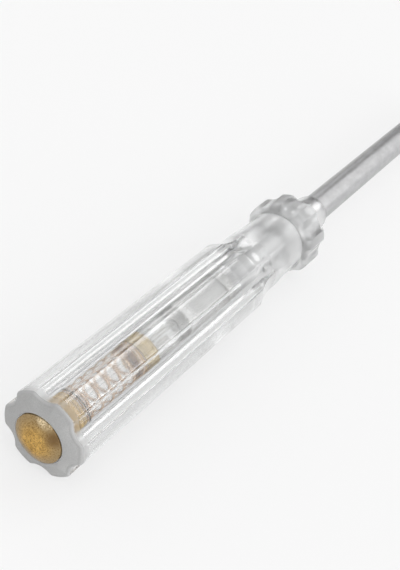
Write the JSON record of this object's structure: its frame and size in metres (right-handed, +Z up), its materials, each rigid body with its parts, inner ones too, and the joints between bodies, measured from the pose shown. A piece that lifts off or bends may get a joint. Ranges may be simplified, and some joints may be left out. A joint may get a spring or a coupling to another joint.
{
  "type": "voltage tester screwdriver",
  "caption": "Voltage tester screwdriver: clear fluted handle with neon lamp, resistor and spring inside, screw-in brass touch cap and round slotted blade.",
  "frame": {"origin": "below the middle of the whole length, on the surface that the handle rests on", "axes": "+X along the tool from the butt to the blade's tip, +Z up, the blade's flats facing +Z and -Z"},
  "size_m": [0.15, 0.0126, 0.0123],
  "materials": {
    "clear_plastic": "clear, frosted on the butt face",
    "steel": "satin",
    "cap_brass": "worn, matt in the middle",
    "spring_brass": "drawn wire",
    "ferrule_brass": "bright",
    "lamp_glass": "clear",
    "electrode_metal": "matt nickel",
    "resistor_body": "pale ceramic",
    "cap_metal": "tinned"
  },
  "bodies": {
    "handle": {"handle_moulding": "clear_plastic", "shaft": "steel"},
    "spring_carriage": {"contact_spring": "spring_brass"},
    "cap": {"contact_cap": "cap_brass"},
    "lamp_cartridge": {"lamp_ferrule": "ferrule_brass", "lamp_glass": "lamp_glass", "lamp_seal_rear": "lamp_glass", "lamp_electrode_rear": "electrode_metal", "lamp_electrode_front": "electrode_metal", "lamp_lead_rear": "electrode_metal", "lamp_lead_front": "electrode_metal", "resistor_body": "resistor_body", "resistor_cap_rear": "cap_metal", "resistor_cap_front": "cap_metal"}
  },
  "joints": [
    {"name": "cap_travel", "type": "slide", "parent": "handle", "child": "spring_carriage", "axis": [-1, 0, 0], "range_m": [0, 0.0024], "deforming": ["contact_spring"]},
    {"name": "cap_turn", "type": "hinge", "parent": "spring_carriage", "child": "cap", "pos_m": [-0.074, 0, 0.00613], "axis": [-1, 0, 0], "range_deg": [0, 1080]},
    {"name": "cartridge_float", "type": "slide", "parent": "handle", "child": "lamp_cartridge", "axis": [-1, 0, 0], "range_m": [0, 0.001], "stiffness_N_per_m": 250, "springref_m": -0.0025, "deforming": ["contact_spring"]}
  ],
  "couplings": [
    {"joint": "cap_turn", "follows": "cap_travel", "rad_per_m": 7853.9}
  ]
}
